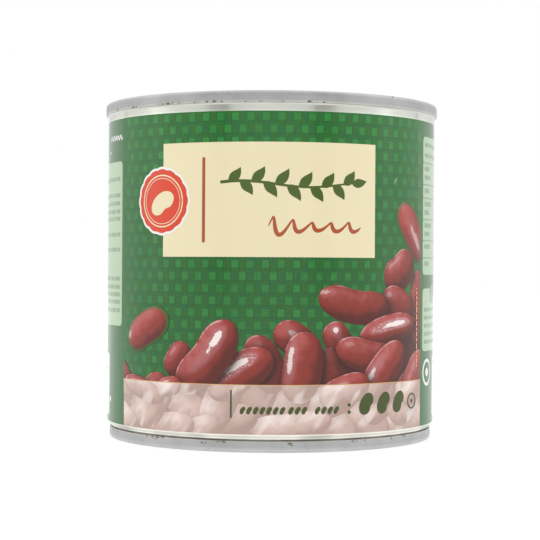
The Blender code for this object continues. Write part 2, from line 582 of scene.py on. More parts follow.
CHECK_LIGHT = (0.021, 0.200, 0.031, 1.0)
CHECK_LINE = (0.008, 0.088, 0.012, 1.0)
CHECK_THREAD = (0.022, 0.118, 0.018, 1.0)
CHECK_LIFT = 0.024


def field_of(tree, name, output="Vector"):
    """What the mesh's points hold under a name."""
    return add_node(tree, "Attribute", output=output, attribute_name=name)


def near_middle(value, half, soft):
    """1 where a position within a repeat, from 0 to 1, is nearer its middle than half, with a soft edge."""
    return 1.0 - step_up(worked_out("ABSOLUTE", value - 0.5), half - soft, half + soft)


checked_ink, tree = new_material("checked_green_ink")
flat_place = field_of(tree, "place")
place_across, place_up, _ = parts(flat_place)
up = (place_up - CHECK_PHASE[1]) / CHECK_UP + 0.5
row = worked_out("FLOOR", up)
odd = worked_out("FLOORED_MODULO", row, 2.0)
across = odd * 0.5 + (place_across - CHECK_PHASE[0]) / CHECK_ACROSS + 0.5
in_row, in_column = worked_out("FRACT", up), worked_out("FRACT", across)
cell = add_node(tree, "CombineXYZ", {0: worked_out("FLOOR", across), 1: row})
chance = add_node(tree, "TexWhiteNoise", {0: cell}, noise_dimensions="2D")
cloud = noise(flat_place, 0.55, 2.0)
weave = mixed(step_up(cloud, 0.38, 0.62), CHECK_GROUND, CHECK_COOL)
thread = near_middle(worked_out("FRACT", in_column + 0.5), THREAD_HALF, 0.05)
weave = mixed(thread * chance * THREAD_STRENGTH, weave, CHECK_THREAD)
outline = near_middle(in_column, OUTLINE_OUTER, 0.04) - near_middle(in_column, OUTLINE_INNER, 0.03)
weave = mixed(outline * near_middle(in_row, OUTLINE_HIGH, 0.06) * chance, weave, CHECK_LINE)
line = near_middle(worked_out("FRACT", in_row + LINE_PLACE), LINE_HALF, 0.05)
weave = mixed(line * LINE_STRENGTH, weave, CHECK_LINE)
square = near_middle(in_column, SQUARE_WIDE / CHECK_ACROSS / 2, 0.045)
square *= near_middle(in_row, SQUARE_HIGH / CHECK_UP / 2, 0.06)
faded = step_up(worked_out("ABSOLUTE", place_across), FADE_START, FADE_FULL)
weave = mixed(square * (chance * 0.45 + 0.6) * (faded * -0.45 + 1.0), weave, CHECK_LIGHT)
stripe = worked_out("SINE", place_across * (2 * math.pi / STRIPE_ACROSS))
threads_and_sheen = noise(flat_place, (3.0, 0.45, 1.0), 2.0) * 0.52 + noise(flat_place, (0.45, 3.0, 1.0), 1.0) * 0.26
threads_and_sheen += stripe * cloud * STRIPE_STRENGTH + 0.59
# The upper rows are painted lighter: a painted sheen of light from above.
threads_and_sheen *= step_up(place_up, PAINTED_SHEEN_START, PRINT_HIGH) * 0.13 + 1.0
varnished(tree, dimmed(weave, threads_and_sheen * (faded * 0.08 + 1.0)))
for side, turn in FRONTS.items():
    field = panel(FIELD_LEFT, FIELD_RIGHT, PRINT_LOW, PRINT_HIGH)
    lay_on_wall(f"{side}_checks", [field], CHECK_LIFT, checked_ink, turn)


# The title panel: a flat cream field printed over the checks, with an upright red bar, a sprig of
# leaves in green and a pen's flourish in red.
CREAM = (0.79, 0.705, 0.455)
RED = (0.395, 0.078, 0.021)
TITLE_GREEN = (0.060, 0.106, 0.009)
TITLE_LEFT, TITLE_RIGHT = -27.5, 26.3
TITLE_LOW, TITLE_HIGH = 45.5, 72.25
TITLE_LIFT, OVER_TITLE_LIFT, LEAF_LIFT = 0.036, 0.048, 0.001
BAR_ACROSS, BAR_LOW, BAR_HIGH, BAR_WIDE = -16.15, 48.8, 68.8, 0.78
STEM_LEFT, STEM_RIGHT, STEM_UP = -12.0, 19.6, 62.5
STEM_HALF, STEM_WAVE = 0.32, 0.7
LEAVES = 11
LEAF_LONG, LEAF_WIDE, LEAF_SLANT, LEAF_CURL = 5.0, 2.35, 47, 0.7
TIP_LONG, TIP_WIDE, TIP_SLANT, TIP_CURL = 4.2, 2.1, 8, 0.35
FLOURISH_LEFT, FLOURISH_RIGHT, FLOURISH_UP = -1.0, 21.8, 52.6
FLOURISH_LOOPS, FLOURISH_WIDE = 5.0, 0.92


def ribbon(path, half_width, columns=3):
    """A flat strip along a path: each row lies across the path's direction, half_width each way."""
    along = np.gradient(path, axis=0)
    along /= np.linalg.norm(along, axis=1)[:, None]
    sideways = as_columns(along[:, 1], -along[:, 0])
    reach = np.linspace(-1, 1, columns)
    half_width = np.broadcast_to(half_width, len(path))
    return sheet_of(path[:, None] + sideways[:, None] * (half_width[:, None] * reach)[..., None])


def pen(length, width):
    """Half widths along a stroke of so many points, with round ends."""
    share = np.linspace(-1, 1, length)
    return width / 2 * np.sqrt(np.clip(1 - share**24, 0.02, 1))


def leaf(across, up, length, width, degrees, curl):
    """A pointed leaf from its foot: a curled path whose half width follows sin(pi t^0.8)."""
    share = np.linspace(0, 1, 26)
    side = math.copysign(1.0, degrees)
    heading = (math.radians(degrees) + curl * (share - 0.5) * side)[1:]
    steps = as_columns(np.cos(heading), np.sin(heading)) * length / len(heading)
    path = np.concatenate([[(0, 0)], np.cumsum(steps, axis=0)]) + (across, up)
    return ribbon(path, width / 2 * np.clip(np.sin(math.pi * share**0.8), 0.02, 1), 5)


cream_ink = ink("cream_ink", CREAM, 0.02)
red_ink = ink("red_ink", RED, 0.05)
title_ink = ink("title_green_ink", TITLE_GREEN, 0.05)
share = np.linspace(0, 1, 90)
stem_across = STEM_LEFT + (STEM_RIGHT - STEM_LEFT) * share
stem_up = STEM_UP + STEM_WAVE * np.sin(2 * math.pi * share + 0.6)
sprig = [ribbon(as_columns(stem_across, stem_up), STEM_HALF * (1.15 - 0.5 * share))]
for number, along in enumerate(np.linspace(0.06, 0.93, LEAVES)):
    across, up = np.interp(along, share, stem_across), np.interp(along, share, stem_up)
    long = LEAF_LONG - 1.2 * abs(along - 0.45)
    sprig.append(leaf(across, up, long, LEAF_WIDE, LEAF_SLANT * (-1) ** number, LEAF_CURL))
sprig.append(leaf(stem_across[-1], stem_up[-1], TIP_LONG, TIP_WIDE, TIP_SLANT, TIP_CURL))
share = np.linspace(0, 1, 320)
swing = 2 * math.pi * FLOURISH_LOOPS * share
height = (2.3 - 1.3 * share) * (0.55 + 0.45 * np.cos(math.pi * share) ** 2)
flourish_across = FLOURISH_LEFT + (FLOURISH_RIGHT - FLOURISH_LEFT) * share + 0.55 * np.sin(swing + 0.7)
flourish = as_columns(flourish_across, FLOURISH_UP + height * np.sin(swing))
flourish = ribbon(flourish, pen(len(share), FLOURISH_WIDE) * (0.8 + 0.3 * np.cos(swing + 2.2)))
title = panel(TITLE_LEFT, TITLE_RIGHT, TITLE_LOW, TITLE_HIGH)
half = BAR_WIDE / 2
red_bar = panel(BAR_ACROSS - half, BAR_ACROSS + half, BAR_LOW, BAR_HIGH, half - 0.01)
for side, turn in FRONTS.items():
    lay_on_wall(f"{side}_title_panel", [title], TITLE_LIFT, cream_ink, turn)
    lay_on_wall(f"{side}_red_bar", [red_bar], OVER_TITLE_LIFT, red_ink, turn)
    sprig_lifts = OVER_TITLE_LIFT + LEAF_LIFT * np.arange(len(sprig))
    lay_on_wall(f"{side}_sprig", sprig, sprig_lifts, title_ink, turn)
    lay_on_wall(f"{side}_flourish", [flourish], OVER_TITLE_LIFT, red_ink, turn)


# The seal: a round scalloped red stamp with a white rim, overlapping the title panel's left edge. Its
# middle holds one pale kidney bean within two rings.
SEAL_ACROSS, SEAL_UP, SEAL_RADIUS = -27.9, 58.7, 7.9
SEAL_SCALLOPS, SCALLOP_DEPTH = 16, 0.035
SEAL_SPOKES = 192
SEAL_RIM = 0.55
SEAL_RINGS = ((6.1, 0.32), (5.4, 0.16))
SEAL_LIFTS = (0.050, 0.058, 0.066)
SEAL_RED = (0.67, 0.052, 0.016)
SEAL_WHITE = (0.83, 0.82, 0.78)


def waist(x, y, bend):
    """How wide a bean is along its length, beside 1: its hollow side is drawn in by up to a fifth."""
    draw_in = min(0.2, abs(bend) * 0.005) * np.exp(-((x / 0.5) ** 2))
    return np.where(y * bend < 0, 1 - draw_in, 1.0)


def bent(x, y, length, lean, bend):
    """Bean coordinates bent to an arc of radius length / bend along its length, and then leaned."""
    curve = math.radians(bend) / length if bend else 1e-6
    swing = x * curve
    flat_x = (1 / curve + y) * np.sin(swing)
    flat_y = (1 / curve + y) * np.cos(swing) - 1 / curve
    c, s = math.cos(math.radians(lean)), math.sin(math.radians(lean))
    return as_columns(flat_x * c - flat_y * s, flat_x * s + flat_y * c)


def oval(spokes):
    """Points round |x|^2.6 + y^2 = 1, a bean's outline before it is stretched."""
    angle = np.arange(spokes) * 2 * math.pi / spokes
    return np.sign(np.cos(angle)) * np.abs(np.cos(angle)) ** (2 / 2.6), np.sin(angle)


def bean_outline(length, width, lean, bend, spokes=72):
    """A kidney bean's outline: an oval drawn in at its waist, stretched, then bent round an arc."""
    x, y = oval(spokes)
    return bent(x * length / 2, y * waist(x, y, bend) * width / 2, length, lean, bend)


def patch(across, up, outline, rings=8):
    """A patch in rings from a middle to an outline given about that middle."""
    closed = np.concatenate([outline, outline[:1]])
    share = np.linspace(0.02, 1, rings)[:, None, None]
    points, faces = sheet_of(share * closed + np.array([across, up]))
    return points, [face[::-1] for face in faces] + [list(range(len(outline)))]


def disc(across, up, radius, spokes=64, squash=1.0):
    """A round or scalloped patch; radius is a number or one for each spoke."""
    angle = np.arange(spokes) * 2 * math.pi / spokes
    outline = as_columns(radius * np.cos(angle), radius * np.sin(angle) * squash)
    return patch(across, up, outline, max(3, math.ceil(np.max(radius) / FACET)))


def ring(across, up, radius, width, spokes=96, overlap=0):
    """A flat ring, as a ribbon along a circle that runs on past its start by so many spokes."""
    angle = np.arange(spokes + 1 + overlap) * 2 * math.pi / spokes
    circle = as_columns(across + radius * np.cos(angle), up + radius * np.sin(angle))
    return ribbon(circle, width / 2)


angle = np.arange(SEAL_SPOKES) * 2 * math.pi / SEAL_SPOKES
scallops = 1 + SCALLOP_DEPTH * np.abs(np.cos(SEAL_SCALLOPS / 2 * angle)) ** 0.8
white_ink = ink("white_ink", SEAL_WHITE, 0.01)
seal_ink = ink("seal_red_ink", SEAL_RED, 0.04)
rim = disc(SEAL_ACROSS, SEAL_UP, SEAL_RADIUS * scallops, SEAL_SPOKES)
middle = disc(SEAL_ACROSS, SEAL_UP, (SEAL_RADIUS - SEAL_RIM) * scallops, SEAL_SPOKES)
motif = [ring(SEAL_ACROSS, SEAL_UP, *radius_and_width, SEAL_SPOKES, 1) for radius_and_width in SEAL_RINGS]
motif.append(patch(SEAL_ACROSS, SEAL_UP - 0.4, bean_outline(7.6, 4.5, 32, 62)))
for side, turn in FRONTS.items():
    lay_on_wall(f"{side}_seal_rim", [rim], SEAL_LIFTS[0], white_ink, turn)
    lay_on_wall(f"{side}_seal_field", [middle], SEAL_LIFTS[1], seal_ink, turn)
    lay_on_wall(f"{side}_seal_motif", motif, SEAL_LIFTS[2], cream_ink, turn)


# The picture: a heap of cooked kidney beans in dark reds with mauve gloss, printed over the checks.
# Below it a pale band washes the same beans out to pink. Each bean lies over the ones before it. A
# row holds its across, up, length, width, lean, bend and tone, then its shine's strength and aim and
# how far its edge is blurred.
BAND_TOP = 15.8
HEAP_NUDGE = 0.9
HEAP_LEAN = 7.0
HEAP_GROWTH = 0.05
AIM_NUDGE = 0.04
HEAP_LIFT, BEAN_LIFT = 0.034, 0.006
BEAN_RINGS, BEAN_SPOKES = 15, 72
SHADOW_SHIFT, SHADOW_FADE = (-0.45, 0.6), 1.1
USUAL_AIM = (-0.3, 0.35, 0)
BEANS_ABOVE = (
    (40.0, 52.6, 17.8, 8.8, -52, 20, 0.95, 0.35, 0.12, -0.02, 1),
    (43.6, 33.8, 19.0, 7.6, 84, 0, 0.6, 0, 0, 0.4, 0),
    (35.6, 41.6, 12.6, 9.0, 34, -26, 0.3, 0.15, -0.5, 0.5, 0),
    (34.2, 34.0, 13.0, 8.2, -22, 14, 0.5, 0.25, -0.4, 0.5, 0),
    (21.0, 34.2, 18.8, 9.0, -13, -36, 0.2, 0.35, -0.5, 0.5, 0),
    (31.3, 27.8, 19.8, 7.0, 14, 14, 0.85, 1.5, 0.1, 0.3, 0),
    (18.4, 21.8, 11.0, 8.0, -60, 0, -0.4, 0, 0, 0.4, 0),
    (16.5, 25.5, 8.8, 6.8, -66, 0, 0.85, 0.95, 0, 0.42, 0),
    (15.2, 18.5, 11.0, 6.5, -68, 0, -0.6, 0, 0, 0.4, 0),
    (24.4, 22.2, 18.6, 8.6, -5, -24, 0.4, 0.12, -0.2, 0.5, 0),
    (42.0, 17.0, 15.0, 9.6, 52, 0, 0.8, 0.1, -0.3, 0.3, 0),
    (30.3, 18.9, 17.4, 9.4, 42, 20, 0.75, 0.9, -0.55, 0.2, 0),
    (18.8, 14.2, 14.4, 7.2, 12, 0, 0.7, 0.2, -0.3, 0.4, 0),
    (5.8, 26.9, 10.6, 7.6, -34, 0, 0.75, 0.4, 0.1, 0.2, 0),
    (-1.6, 21.4, 14.0, 8.0, -60, 22, 0.5, 0.05, 0, 0.5, 0),
    (7.3, 20.6, 16.6, 9.8, 78, -20, 0.55, 0.8, -0.68, 0.2, 0),
    (-7.6, 17.7, 17.0, 9.8, 40, 20, 0.95, 1.5, -0.22, 0.4, 0),
    (-23.2, 20.6, 9.2, 6.8, 58, 0, 0.4, 0.15, -0.5, 0.5, 0),
    (-14.9, 22.4, 20.8, 10.0, 52, -34, 0.6, 0.95, -0.03, 0.3, 0),
    (-41.6, 16.2, 12.0, 6.6, -38, 0, 0.9, 0.3, -0.3, 0.5, 0),
    (-34.0, 14.6, 15.0, 5.4, -10, 10, 0.5, 0.3, 0, 0.5, 0),
    (-26.2, 15.2, 7.6, 4.6, 12, 0, 0.9, 0.5, -0.2, 0.5, 0),
    (-33.8, 28.4, 16.0, 9.3, 24, 16, 0.7, 0.55, -0.82, 0.1, 1),
)
BEANS_IN_BAND = (
    (39.0, 5.6, 19.0, 7.6, 8, 0, 0.7, 0.3), (24.1, 6.4, 15.0, 7.6, -27, 0, 0.6, 0.3),
    (38.4, 12.3, 16.3, 10.6, 40, 10, 0.9, 0.8), (29.0, 11.8, 14.0, 8.4, 55, 0, 0.6, 0.6),
    (15.5, 6.0, 13.5, 7.4, -24, 0, 0.5, 0.3), (14.9, 12.2, 15.8, 8.0, 24, 12, 0.4, 0.9),
    (-3.4, 12.6, 13.0, 7.8, -54, 0, 0.3, 0.3), (4.3, 11.6, 14.4, 8.4, 68, -8, 0.25, 0.5),
    (4.3, 6.4, 19.0, 6.6, 4, -14, 0.7, 0.3), (-7.8, 7.6, 12.0, 7.2, 24, 0, 0.5, 0.3),
    (-19.8, 9.8, 14.5, 8.4, -34, 0, 0.75, 0.3), (-12.4, 11.6, 16.0, 8.8, 60, 10, 0.7, 1.0),
    (-41.0, 6.6, 15.0, 7.6, 12, 0, 1, 0.6), (-39.6, 12.6, 11.0, 7.0, -36, 0, 0.9, 0.8),
    (-15.4, 6.0, 9.0, 6.0, 22, 0, 0.7, 0.3), (-24.0, 5.6, 12.0, 6.4, 3, 0, 0.8, 0.3),
    (-30.2, 10.4, 15.6, 10.4, 48, 14, 1.1, 1.0),
)
HEAP_TOP = (
    (-42.7, 15.5), (-30, 14.5), (-24, 17), (-20, 20), (-10, 21), (8, 22), (14, 23), (24, 25), (30, 26),
    (38, 30), (41, 36), (45.0, 40),
)
BEAN_GAP = (0.032, 0.003, 0.001, 1.0)
BEAN_DEEP = (0.100, 0.009, 0.004, 1.0)
BEAN_MIDDLE = (0.240, 0.023, 0.012, 1.0)
BEAN_BRIGHT = (0.400, 0.048, 0.034, 1.0)
BEAN_MAUVE = (0.50, 0.22, 0.24, 1.0)
BEAN_SHINE = (0.90, 0.80, 0.76, 1.0)
BEAN_RIM = (0.70, 0.40, 0.40, 1.0)
WASH_DEEP = (0.440, 0.305, 0.265, 1.0)
WASH_MIDDLE = (0.660, 0.485, 0.425, 1.0)
WASH_PALE = (0.84, 0.68, 0.63, 1.0)
WASH_SHINE = (0.95, 0.87, 0.83, 1.0)
KEY_LIGHT, SHEEN_LIGHT, RIM_LIGHT = (-0.42, 0.62, 0.66), (-0.44, 0.64, 0.63), (-0.6, 0.8, 0.0)
GLOSS_SLANT = math.radians(52)
GLOSS_STREAKS = (0.11, 0.34, 1.0)


def place_in_bean(points, bean):
    """How far along and across a bean the points lie, from -1 to 1: its arc undone, then its size."""
    across, up, length, width, lean, bend = bean[:6]
    c, s = math.cos(math.radians(lean)), math.sin(math.radians(lean))
    x = (points[:, 0] - across) * c + (points[:, 1] - up) * s
    y = (points[:, 1] - up) * c - (points[:, 0] - across) * s
    radius = length / math.radians(bend) if bend else 1e6
    way = math.copysign(1.0, radius)
    swing = np.arctan2(x * way, (y + radius) * way)
    along, out = swing * radius / (length / 2), (way * np.hypot(x, y + radius) - radius) / (width / 2)
    return along, out / waist(along, out, bend)


def bean_patch(bean, in_front):
    """A bean's flat patch and the fields that shade it.

    Rings follow the outline |x|^2.6 + y^2 = 1. The dome is the normal of a bean whose height is
    sqrt(1 - |x|^2.6 - y^2) of half its width. The shade of a bean in front fades out from its
    outline, moved down and to the right. The finish holds the shine, how far out a point lies and
    how blurred it is. What passes the field's edges is folded back on them.
    """
    across, up, length, width, lean, bend, tone, shine, aim_x, aim_y, blur = bean
    outward = np.sin(np.linspace(0.03, 1, BEAN_RINGS) * math.pi / 2)[:, None]
    x, y = ((outward * side).ravel() for side in oval(BEAN_SPOKES))
    flat = bent(x * length / 2, y * waist(x, y, bend) * width / 2, length, lean, bend) + (across, up)
    steep_x = 1.3 * np.sign(x) * np.abs(x) ** 1.6 * width / length
    level = np.sqrt(np.clip(1 - np.abs(x) ** 2.6 - y**2, 0, 1))
    size = np.sqrt(steep_x**2 + y**2 + level**2)
    heading = math.radians(lean) - x * math.radians(bend) / 2
    dome_x = (steep_x * np.cos(heading) - y * np.sin(heading)) / size
    dome_y = (steep_x * np.sin(heading) + y * np.cos(heading)) / size
    shade = np.zeros(len(x))
    for other in in_front:
        other_x, other_y = place_in_bean(flat + SHADOW_SHIFT, other)
        clear = (np.sqrt(np.abs(other_x) ** 2.6 + other_y**2) - 1) * other[3] / 2
        shade = np.maximum(shade, np.exp(-np.clip(clear, 0, None) / SHADOW_FADE))
    index = np.arange(len(x)).reshape(BEAN_RINGS, BEAN_SPOKES)
    onward = np.roll(index, -1, axis=1)
    faces = as_columns(index[:-1], index[1:], onward[1:], onward[:-1]).reshape(-1, 4)
    lowest, highest = (FIELD_LEFT, PRINT_LOW), (FIELD_RIGHT, CAN_HEIGHT)
    inside = ((flat > lowest) & (flat < highest)).all(axis=1)
    faces = faces[inside[faces].any(axis=1)]
    kept, renumbered = np.unique(faces, return_inverse=True)
    faces = renumbered.reshape(-1, 4).tolist()
    if inside[index[0]].all():
        faces.append(np.searchsorted(kept, index[0]).tolist())
    aim = np.array([aim_x, aim_y, math.sqrt(1 - aim_x**2 - aim_y**2)])
    finish = as_columns(shine, np.repeat(outward, BEAN_SPOKES), blur)
    return (flat.clip(lowest, highest)[kept], faces), {
        "dome": as_columns(dome_x, dome_y, level / size)[kept],
        "shade": shade[kept], "tone": np.full(len(kept), tone),
        "aim": np.tile(aim, (len(kept), 1)), "finish": finish[kept],
    }


def least(*values):
    return worked_out("MINIMUM", *values)


def most(*values):
    return worked_out("MAXIMUM", *values)


def facing(dome, direction):
    """The cosine between the dome and a direction."""
    inputs = {0: dome, 1: direction}
    return add_node(tree_of(dome), "VectorMath", inputs, "Value", operation="DOT_PRODUCT")


def lit_from(dome, light):
    """The cosine between the dome and a light's direction, not below 0."""
    return most(facing(dome, np.array(light) / np.linalg.norm(light)), 0.0)


bean_ink, tree = new_material("bean_inks")
flat_place, dome, aim = (field_of(tree, name) for name in ("place", "dome", "aim"))
shade, tone = (field_of(tree, name, "Fac") for name in ("shade", "tone"))
strength, outward, blurred = parts(field_of(tree, "finish"))
mottle = noise(flat_place, 0.42, 4.0)
bubble = noise(flat_place, 2.6, 1.0)
wander = mottle * 0.5 - 0.25
lit = lit_from(dome, KEY_LIGHT) + wander + tone * 0.3 - 0.15
body = mixed(step_up(lit, 0.05, 0.55), BEAN_DEEP, BEAN_MIDDLE)
body = mixed(step_up(lit, 0.60, 1.05), body, BEAN_BRIGHT)
sheen = worked_out("POWER", lit_from(dome, SHEEN_LIGHT), 6.5)
sheen *= worked_out("ADD", mottle * 2.0, -0.42, clamp=True)
body = mixed(sheen * 0.5, body, BEAN_MAUVE)
near = facing(dome, aim) + wander * 0.10 + bubble * 0.03 - 0.015
streak = step_up(near, 0.978, 0.988) * least(strength, 1.0)
glow = step_up(near, 0.86, 0.985) * strength * 0.45
foam = step_up(bubble, 0.58, 0.66) * step_up(near, 0.90, 0.97) * step_up(strength, 1.2, 1.4)
shine = most(streak, foam * 0.7)
body = mixed(least(glow, 0.6), body, BEAN_MAUVE)
body = mixed(shine, body, BEAN_SHINE)
rim = step_up(outward, 0.925, 0.955) - step_up(outward, 0.975, 0.995)
rim *= step_up(lit_from(dome, RIM_LIGHT), 0.55, 0.9) * step_up(mottle, 0.38, 0.6)
body = mixed(rim * 0.9, body, BEAN_RIM)
body = mixed(shade * 0.94, body, BEAN_GAP)
body = mixed(step_up(outward, 0.80, 1.02) * blurred, body, CHECK_GROUND)
wash = mixed(step_up(lit, 0.0, 0.75), WASH_DEEP, WASH_MIDDLE)
wash = mixed(step_up(lit + sheen, 0.65, 1.4), wash, WASH_PALE)
slanted = add_node(tree, "Mapping", {"Vector": flat_place, "Rotation": (0, 0, -GLOSS_SLANT)})
gloss = noise(slanted, GLOSS_STREAKS, 1.0, layer=tone * 9.0)
pale = most(most(shine, most(glow, rim * 0.6)), step_up(gloss, 0.53, 0.68) * 0.6)
wash = mixed(pale, wash, WASH_SHINE)
dim = most(worked_out("ADD", tone * -0.7, 0.62, clamp=True), step_up(gloss, 0.45, 0.33) * 0.45)
wash = mixed(most(dim, shade * 0.5), wash, WASH_DEEP)
above = step_up(parts(flat_place)[1], BAND_TOP - 0.06, BAND_TOP + 0.06)
varnished(tree, mixed(above, wash, body))

draw = np.random.default_rng(7)
beans = []
for row in BEANS_IN_BAND + BEANS_ABOVE:
    across, up, length, width, lean, bend, tone, shine, aim_x, aim_y, blur = (row + USUAL_AIM)[:11]
    nudge = draw.uniform(-1, 1, 7)
    beans.append((
        across + nudge[0] * HEAP_NUDGE, up + nudge[1] * HEAP_NUDGE,
        length * (1 + HEAP_GROWTH * nudge[2]), width * (1 + HEAP_GROWTH * nudge[3]),
        lean + HEAP_LEAN * nudge[4], bend, tone, shine,
        aim_x + AIM_NUDGE * nudge[5], aim_y + AIM_NUDGE * nudge[6], blur,
    ))
across = np.linspace(FIELD_LEFT, FIELD_RIGHT, 150)
up = PRINT_LOW + (np.interp(across, *np.array(HEAP_TOP).T) - PRINT_LOW) * np.linspace(0, 1, 24)[:, None]
behind = sheet_of(as_columns(across, up))
count = len(behind[0])
shapes, lifts, fields = [behind], [HEAP_LIFT], [{
    "dome": np.tile([0.3, -0.3, 0.9], (count, 1)), "shade": np.full(count, 0.8), "tone": np.zeros(count),
    "aim": np.tile([0.0, 0.0, -1.0], (count, 1)), "finish": np.zeros((count, 3)),
}]
levels = []
for number, bean in enumerate(beans):
    under = [
        level for level, other in zip(levels, beans)
        if math.dist(bean[:2], other[:2]) < (bean[2] + other[2]) / 2
    ]
    levels.append(1 + max(under, default=0))
    shape, field = bean_patch(bean, beans[number + 1:])
    shapes.append(shape)
    lifts.append(HEAP_LIFT + BEAN_LIFT * levels[-1])
    fields.append(field)
joined = {name: np.concatenate([field[name] for field in fields]) for name in fields[0]}
PICTURE_LIFT = max(lifts) + BEAN_LIFT
for side, turn in FRONTS.items():
    lay_on_wall(f"{side}_beans", shapes, lifts, bean_ink, turn, fields=joined)


# The band's print, over the washed beans: a yellow line along its top, then in dark green an upright
# line, rows of small leaning beans, two dots and three larger beans with a ring. A column of small
# yellow dashes stands at the picture's right edge, and a short pale scratch marks the front's checks.
YELLOW = (0.66, 0.39, 0.15)
BAND_GREEN = (0.050, 0.072, 0.006)
LINE_BELOW, LINE_ABOVE = 0.10, 0.07
ROWS_OF_BEANS = ((-6.9, 3.4), (4.4, 9.6), (10.7, 17.6))
ROW_UP, ROW_STEP, ROW_BEAN = 9.9, 1.55, (1.9, 1.05, 62, 50, 24)
DOTS_ACROSS, DOTS_UP, DOT_RADIUS = 19.2, (9.3, 11.0), 0.42
UPRIGHT = (-9.3, -8.9, 8.1, 14.6)
LARGE_BEANS, LARGE_UP, LARGE_BEAN = (24.0, 29.3, 34.6), 11.1, (5.4, 3.5, 62, 45)
RING_ACROSS, RING_UP, RING_RADIUS, RING_WIDE = 40.3, 10.9, 1.75, 0.4
DASHES_ACROSS, DASHES_LOW, DASHES_HIGH, DASH_HALF = 42.6, 19.0, 38.2, 0.28
SCRATCH_COLOR = (0.33, 0.42, 0.30)
SCRATCH_ACROSS, SCRATCH_UP, SCRATCH_HALF = 33.2, 64.0, 0.13

yellow_ink = ink("yellow_ink", YELLOW, 0.05)
band_ink = ink("band_green_ink", BAND_GREEN, 0.05)
marks = []
for left, right in ROWS_OF_BEANS:
    for across in np.arange(left + 0.5, right - 0.3, ROW_STEP):
        marks.append(patch(across, ROW_UP, bean_outline(*ROW_BEAN), 3))
marks += [disc(DOTS_ACROSS, up, DOT_RADIUS, 24) for up in DOTS_UP]
marks += [panel(*UPRIGHT)]
marks += [patch(across, LARGE_UP, bean_outline(*LARGE_BEAN)) for across in LARGE_BEANS]
marks += [ring(RING_ACROSS, RING_UP, RING_RADIUS, RING_WIDE), disc(RING_ACROSS, RING_UP, 0.5, 24)]
draw = np.random.default_rng(11)
dashes = []
up = DASHES_LOW
while up < DASHES_HIGH:
    dash = draw.uniform(0.5, 1.5)
    top = min(up + dash, DASHES_HIGH)
    dashes.append(panel(DASHES_ACROSS - DASH_HALF, DASHES_ACROSS + DASH_HALF, up, top))
    up += dash + draw.uniform(0.25, 0.5)
line = panel(FIELD_LEFT, FIELD_RIGHT, BAND_TOP - LINE_BELOW, BAND_TOP + LINE_ABOVE)
for side, turn in FRONTS.items():
    lay_on_wall(f"{side}_band_line", [line], PICTURE_LIFT, yellow_ink, turn)
    lay_on_wall(f"{side}_band_words", marks, PICTURE_LIFT, band_ink, turn)
    lay_on_wall(f"{side}_dashes", dashes, PICTURE_LIFT, yellow_ink, turn)
share = np.linspace(-1, 1, 12)
scratch = as_columns(SCRATCH_ACROSS + 0.5 * share, SCRATCH_UP + 0.75 * share + 0.12 * share**2)
scratch = ribbon(scratch, SCRATCH_HALF * np.sqrt(1.02 - share**2))
lay_on_wall("front_scratch", [scratch], TITLE_LIFT, ink("scratched_ink", SCRATCH_COLOR, 0.1))


# The sides, left and right of the front picture: pale green panels with rows of thin dark bars, a
# table with ruled lines, a white ring and two white panels.
MINT = (0.39, 0.54, 0.35)
SMALL_PRINT = (0.21, 0.32, 0.19)
LEFT_PANEL = (-78.5, -44.3, 28.5, 69.0)
PANEL_LEFT, PANEL_RIGHT = 46.4, 86.5
RIGHT_PANEL = (PANEL_LEFT, PANEL_RIGHT, 41.5, 75.7)
LOW_PANEL = (PANEL_LEFT, PANEL_RIGHT, 22.6, 38.1)
PANEL_CORNER, WHITE_CORNER = 1.2, 0.8
TAB = (52.8, 80.0, 34.3, 38.9)
ROWS_LEFT, ROWS_RIGHT = 47.6, 84.5
LEFT_ROWS = (64.2, 60.2, 58.2, 56.2, 54.4, 50.5, 46.8, 39.6, 37.6, 35.7, 33.9, 31.8)
TOP_ROWS = (73.2, 70.6)
LOW_ROWS = np.arange(32.4, 24.0, -2.0)
WHITE_ROWS = np.arange(19.2, 7.0, -2.1)
TABLE_LINES = (69.2, 63.8, 60.5, 55.2, 50.0, 45.7, 42.3)
TABLE_LINE_HALF = 0.17
TABLE_ROW, TABLE_ROW_STEP = 1.1, 2.1
TABLE_COLUMN, TABLE_END = 76.0, 84.0
WHITE_PANELS = ((-77.5, -54.4, 6.0, 21.3), (56.2, 84.0, 6.0, 21.1))
MARK_ACROSS, MARK_UP, MARK_RADIUS, MARK_WIDE, MARK_MIDDLE = 50.0, 17.3, 3.0, 0.75, 1.1
SMALL_BAR = (-55.0, -53.6, 71.35, 71.75)
SMALL_DOT = (-53.2, 10.0, 0.8)
WAVE_LEFT, WAVE_LONG, WAVE_UP, WAVE_HIGH, WAVES, WAVE_WIDE = -54.3, 10.0, 74.9, 0.5, 6, 0.42
SIDE_LIFT, WHITE_LIFT, SMALL_LIFT, OVER_WHITE_LIFT = 0.024, 0.030, 0.036, 0.040


def rows_of_bars(left, right, rows, thick, seed, from_right=False):
    """Bars in rows at the given heights, 1.2 to 5 mm long, with ragged row ends, from a seeded draw."""
    draw = np.random.default_rng(seed)
    bars = []
    for up in rows:
        room = (right - left) * draw.uniform(0.62, 1.0)
        start = 0.0
        while start < room - 1.2:
            end = start + min(draw.uniform(1.2, 5.0), room - start)
            first, last = (right - end, right - start) if from_right else (left + start, left + end)
            bars.append(panel(first, last, up, up + thick))
            start = end + 0.7
    return bars


def round_bar(left, right, low, high):
    """A bar with round ends."""
    return panel(left, right, low, high, min(high - low, right - left) * 0.35)


